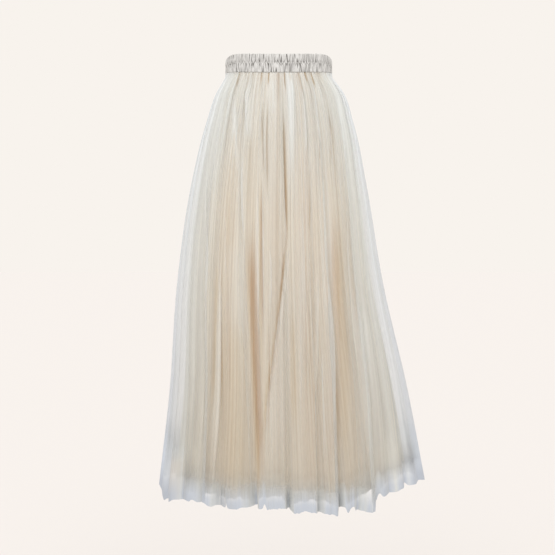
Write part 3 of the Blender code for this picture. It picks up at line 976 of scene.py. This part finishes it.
# How far the crossed creases reach from the middle stitch row, and the share of their depth kept
CROSSED_REACH = 0.19
CROSSED_KEPT = 0.6
Ruche = namedtuple("Ruche", "at width depth slant from_row length")


def ruches(rng):
    """Uneven creases for one channel: each starts at a stitch row and fades across the channel."""
    return [
        Ruche(
            at=(step + rng.uniform(-0.40, 0.40)) / RUCHES_A_CHANNEL,
            width=rng.uniform(0.0005, 0.0010),
            depth=rng.choice((0.0012, 0.0022, 0.0032)),
            slant=rng.uniform(-0.0026, 0.0026),
            from_row=rng.choice((0, 1)),
            length=rng.uniform(0.55, 1.4),
        )
        for step in range(RUCHES_A_CHANNEL)
    ]


def crossed_ruches(rng):
    """Short creases over the middle stitch row, which lean both ways."""
    return [
        Ruche(
            at=(step + rng.uniform(-0.25, 0.25)) / CROSSED_RUCHES,
            width=rng.uniform(0.0005, 0.0008),
            depth=rng.choice((0.0006, 0.0012, 0.0022)),
            slant=rng.choice((-1, 1)) * rng.uniform(0.012, 0.026),
            from_row=0,
            length=1.0,
        )
        for step in range(CROSSED_RUCHES)
    ]


def crossed_relief(around, share, found):
    """The crossed creases' depth and painted shade, strongest on the middle stitch row."""
    reach = np.clip(1 - ((share - 0.5) / CROSSED_REACH) ** 2, 0, 1)
    relief = np.zeros(np.broadcast(around, share).shape)
    shade = np.zeros_like(relief)
    for ruche in found:
        groove = reach * stroke(around, share, ruche)
        relief -= CROSSED_KEPT * ruche.depth * groove
        shade += ruche.depth / CROSSED_SHADED_DEPTH * groove
    return relief, shade


def stroke(around, share, ruche):
    """1 along the line of a crease, and 0 away from it."""
    away = ((around - ruche.at + 0.5) % 1.0 - 0.5) * BAND_ROUND + ruche.slant * (share - 0.5)
    width = ruche.width * (1 + END_WIDENING * np.sin(2 * math.pi * around) ** 4)
    return np.exp(-((away / width) ** 2))


def channel_relief(around, share, found):
    """One channel's cloth over its elastic: its height, and how deep in a crease each point is, which
    sets its painted shade.

    The share is 0 at the edge of the band and 1 at the middle stitch row.
    """
    relief = CHANNEL_PUFF * np.sin(math.pi * share) ** PUFF_POWER
    shade = np.zeros_like(relief)
    for ruche in found:
        from_row = share if ruche.from_row == 0 else 1 - share
        fade = np.clip(1 - (from_row / ruche.length) ** 2, 0, 1) * np.clip((1 - share) * 10, 0, 1)
        groove = fade * stroke(around, share, ruche)
        relief = relief - ruche.depth * groove
        shade = shade + ruche.depth / SHADED_DEPTH * groove
    return relief, np.clip(shade, 0.0, 1.0)


def band_lift(degrees, share):
    """How far the band stands above its plain ring: its ends rise, and round down at the top edge."""
    corner = np.abs(np.sin(np.radians(degrees))) ** CORNER_POWER
    return side_lift(degrees) - CORNER_DROP * corner * share


def waistband():
    rng = random.Random(BAND_SEED)
    around = np.arange(BAND_COLUMNS)[None, :] / BAND_COLUMNS
    share = np.linspace(0, 1, BAND_OUTER_ROWS)[:, None]
    low, low_shade = channel_relief(around, np.clip(share * 2, 0, 1), ruches(rng))
    high, high_shade = channel_relief(around, np.clip(2 - share * 2, 0, 1), ruches(rng))
    relief = np.where(share < 0.5, low, high)
    shade = np.where(share < 0.5, low_shade, high_shade)
    crossed, crossed_shade = crossed_relief(around, share, crossed_ruches(rng))
    relief = relief + crossed
    shade = np.clip(shade + crossed_shade, 0.0, 1.0)
    pucker = wander(rng, around * 2 * math.pi, 0.0, PUCKER_WAVES)
    relief = relief + PUCKER_DEPTH * pucker * (0.4 + np.abs(2 * share - 1))
    height = share * BAND_HEIGHT + BAND_BOTTOM + PUCKER_HEIGHT * pucker * (share - 0.5) * 2
    height = height + band_lift(around * FULL_TURN, share)
    # The edges round over the elastic to the plain inside
    turn = np.linspace(0, math.pi, BAND_INNER_ROWS)[1:-1, None]
    top = height[-1] - EDGE_LIP * (1 - np.sin(turn))
    bottom = height[0] + EDGE_LIP * (1 - np.sin(turn))
    inner = np.full((1, BAND_COLUMNS), -BAND_WALL)
    over = lerp(relief[-1:], inner, (1 - np.cos(turn)) / 2)
    under = lerp(inner, relief[:1], (1 - np.cos(turn)) / 2)
    inside = np.linspace(1, 0, BAND_INNER_ROWS)[:, None]
    offset = np.concatenate([relief, over, np.repeat(inner, BAND_INNER_ROWS, axis=0), under])
    level = np.concatenate([height, top, lerp(height[:1], height[-1:], inside), bottom])
    angle = 2 * math.pi * around
    x = (BAND_HALF_WIDTH + offset) * np.sin(angle)
    y = -(BAND_HALF_DEPTH + offset) * np.cos(angle)
    points = np.stack([x, y, level], axis=-1)
    obj = grid_object("ruched_waistband", points[::-1], closed=True)
    tone = np.concatenate([shade, np.zeros((len(offset) - len(shade), BAND_COLUMNS))])
    point_field(obj, "tone", tone[::-1])
    return obj


# Stitches: rows round the band, as shares of its height
STITCH_ROWS = (0.045, 0.50, 0.955)
STITCH_PITCH = 0.0042
STITCH_LENGTH = 0.0030
STITCH_RADIUS = 0.00028
STITCH_SIDES = 6
# Rings along a stitch; its two tips are thin and dip into the cloth
STITCH_RINGS = (-0.5, -0.25, 0.25, 0.5)
TIP_SHARE = 0.3
TIP_DIP = 0.0001
STITCH_PROUD = 0.0005


def stitch_row(share, start):
    """Points and faces of one row of stitches: short threads, pointed where they enter the cloth."""
    count = round(BAND_ROUND / STITCH_PITCH)
    points, faces = [], []
    for step in range(count):
        middle = 2 * math.pi * step / count
        first = start + len(points)
        for along in STITCH_RINGS:
            angle = middle + along * STITCH_LENGTH / (BAND_ROUND / (2 * math.pi))
            out = Vector((math.sin(angle), -math.cos(angle), 0.0))
            tip = abs(along) == 0.5
            swell = STITCH_RADIUS * TIP_SHARE if tip else STITCH_RADIUS
            lift = -TIP_DIP if tip else STITCH_PROUD
            level = BAND_BOTTOM + share * BAND_HEIGHT + band_lift(math.degrees(angle), share)
            x = (BAND_HALF_WIDTH + lift) * math.sin(angle)
            y = -(BAND_HALF_DEPTH + lift) * math.cos(angle)
            centre = Vector((x, y, level))
            for side in range(STITCH_SIDES):
                turn = 2 * math.pi * side / STITCH_SIDES
                around = out * math.cos(turn) + Vector((0, 0, 1)) * math.sin(turn)
                points.append(centre + around * swell)
        last = len(STITCH_RINGS) - 1
        for ring in range(last):
            for side in range(STITCH_SIDES):
                a = first + ring * STITCH_SIDES + side
                b = first + ring * STITCH_SIDES + (side + 1) % STITCH_SIDES
                faces.append((a, b, b + STITCH_SIDES, a + STITCH_SIDES))
        faces.append(tuple(first + side for side in reversed(range(STITCH_SIDES))))
        faces.append(tuple(first + last * STITCH_SIDES + side for side in range(STITCH_SIDES)))
    return points, faces


def stitches():
    points, faces = [], []
    for share in STITCH_ROWS:
        more_points, more_faces = stitch_row(share, len(points))
        points += more_points
        faces += more_faces
    mesh = bpy.data.meshes.new("band_stitches")
    mesh.from_pydata(points, [], faces)
    mesh.shade_smooth()
    obj = bpy.data.objects.new("band_stitches", mesh)
    bpy.context.scene.collection.objects.link(obj)
    return obj


def finish_piece(obj, material, slot, *nodes):
    obj.data.materials.clear()
    obj.data.materials.append(material)
    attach(obj, BODY)
    if nodes:
        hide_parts(*nodes)


def front_and_back(layer, front, back, cloth, depths, hem_of, hand_creases, material, slot, seed):
    """Both halves of a layer, each standing for its own CAD node."""
    turned = front[0]._replace(
        waist_deg=front[0].waist_deg + FULL_TURN, hem_deg=front[0].hem_deg + FULL_TURN
    )
    for side, folds, end in (("front", front, back[0]), ("back", back, turned)):
        node = f"{layer}_{side}"
        panel = cloth_panel(f"{node}_cloth", folds, end, cloth, depths, hem_of, hand_creases, seed)
        finish_piece(panel, material, slot, node)
        seed += 1


def skirt():
    laid = FRONT_CREASES + BACK_CREASES + [tuck_crease(tuck) for tuck in TUCKS]
    deep = [crease for crease in laid if crease.tone <= DEEP_TONE]
    front_and_back(
        "tulle_outer", FRONT_FOLDS, BACK_FOLDS, OUTER_CLOTH, outer_depths, outer_hem, laid,
        tulle_material("cool_tulle", OUTER_TULLE), "outer_tulle", 101,
    )
    front_and_back(
        "tulle_middle", even_folds(LEFT_SEAM, MIDDLE_HALF), even_folds(RIGHT_SEAM, MIDDLE_HALF),
        MIDDLE_CLOTH, middle_depths, middle_hem, deep,
        tulle_material("warm_tulle", MIDDLE_TULLE), "middle_tulle", 211,
    )
    front_and_back(
        "lining", even_folds(LEFT_SEAM, LINING_HALF), even_folds(RIGHT_SEAM, LINING_HALF),
        LINING_CLOTH, lining_depths, lining_hem, deep,
        lining_material(), "lining", 307,
    )


def band():
    casing = waistband()
    finish_piece(casing, band_material(), "waistband", "waistband")
    sewn = stitches()
    finish_piece(sewn, thread_material(), "waistband")


def room():
    half = FLOOR_SIZE / 2
    mesh = bpy.data.meshes.new("floor")
    corners = [(-half, -half), (half, -half), (half, half), (-half, half)]
    mesh.from_pydata([(x, y, FLOOR_LEVEL) for x, y in corners], [], [(0, 1, 2, 3)])
    floor = bpy.data.objects.new("floor", mesh)
    bpy.context.scene.collection.objects.link(floor)
    material = bpy.data.materials.new("pale_floor")
    material.use_nodes = True
    shader = material.node_tree.nodes["Principled BSDF"]
    shader.inputs["Base Color"].default_value = (*FLOOR_COLOR, 1.0)
    shader.inputs["Roughness"].default_value = 1.0
    shader.inputs["Specular IOR Level"].default_value = 0.0
    mesh.materials.append(material)

    world = bpy.data.worlds.new("studio")
    world.use_nodes = True
    world.node_tree.nodes["Background"].inputs["Color"].default_value = (*BACKGROUND, 1.0)
    world.node_tree.nodes["Background"].inputs["Strength"].default_value = 1.0
    bpy.context.scene.world = world

    light = bpy.data.lights.new("key", "SUN")
    light.energy = KEY_STRENGTH
    light.angle = KEY_SOFTNESS
    key = bpy.data.objects.new("key", light)
    key.rotation_euler = KEY_DIRECTION
    bpy.context.scene.collection.objects.link(key)


def camera():
    data = bpy.data.cameras.new("camera")
    data.lens = LENS
    data.sensor_width = 36.0
    data.clip_end = 200.0
    obj = bpy.data.objects.new("camera", data)
    obj.location = CAMERA_PLACE
    obj.rotation_euler = (math.pi / 2 - CAMERA_PITCH, 0.0, 0.0)
    bpy.context.scene.collection.objects.link(obj)
    bpy.context.scene.camera = obj


camera()
room()
band()
skirt()
bpy.context.scene.view_settings.view_transform = "Standard"
bpy.context.scene.cycles.transparent_max_bounces = 64
